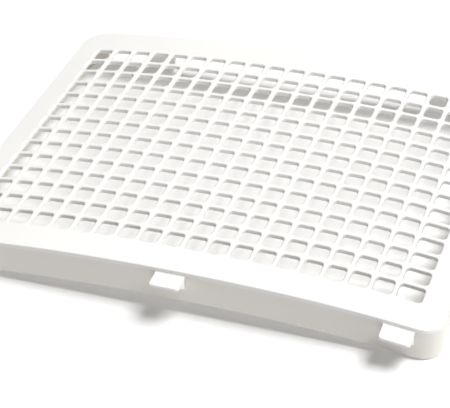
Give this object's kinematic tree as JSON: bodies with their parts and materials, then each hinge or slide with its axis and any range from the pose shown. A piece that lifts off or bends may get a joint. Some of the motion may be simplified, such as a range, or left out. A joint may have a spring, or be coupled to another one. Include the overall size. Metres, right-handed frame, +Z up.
{
  "type": "queen excluder",
  "caption": "Arched white moulded grille in a shallow skirted frame with rounded corners, fixed catches along the front and two flexing snap latches at the back.",
  "frame": {"origin": "centre of the bounding box in X and Y, on the surface that the side skirts stand on", "axes": "X along the long side of the cover, Y from the fixed catches at the front to the snap latches at the back, Z up through the grille"},
  "size_m": [0.117, 0.0986, 0.0116],
  "materials": {
    "grille_plastic": "satin moulded white plastic",
    "frame_plastic": "satin moulded white plastic",
    "skirt_plastic": "satin moulded white plastic, drawn walls",
    "snap_plastic": "satin moulded white plastic, catches and latches"
  },
  "bodies": {
    "shell": {"grid_panel": "grille_plastic", "front_rim": "frame_plastic", "back_rim": "frame_plastic", "left_rim": "frame_plastic", "right_rim": "frame_plastic", "front_skirt": "skirt_plastic", "left_skirt": "skirt_plastic", "right_skirt": "skirt_plastic", "back_skirt_left": "skirt_plastic", "back_skirt_centre": "skirt_plastic", "back_skirt_right": "skirt_plastic", "front_left_corner": "skirt_plastic", "front_right_corner": "skirt_plastic", "back_left_corner": "skirt_plastic", "back_right_corner": "skirt_plastic", "front_catch_left": "snap_plastic", "front_catch_centre": "snap_plastic", "front_catch_right": "snap_plastic", "catch_gusset_left_1": "snap_plastic", "catch_gusset_left_2": "snap_plastic", "catch_gusset_centre_1": "snap_plastic", "catch_gusset_centre_2": "snap_plastic", "catch_gusset_right_1": "snap_plastic", "catch_gusset_right_2": "snap_plastic"},
    "latch_left": {"rear_latch_left": "snap_plastic", "rear_hook_left": "snap_plastic"},
    "latch_right": {"rear_latch_right": "snap_plastic", "rear_hook_right": "snap_plastic"}
  },
  "joints": [
    {"name": "rear_latch_left_flex", "type": "hinge", "parent": "shell", "child": "latch_left", "pos_m": [-0.038, 0.04748, 0.00847], "axis": [-1, 0, 0], "range_deg": [0, 9], "stiffness_Nm_per_rad": 0.6},
    {"name": "rear_latch_right_flex", "type": "hinge", "parent": "shell", "child": "latch_right", "pos_m": [0.038, 0.04748, 0.00847], "axis": [-1, 0, 0], "range_deg": [0, 9], "stiffness_Nm_per_rad": 0.6}
  ]
}
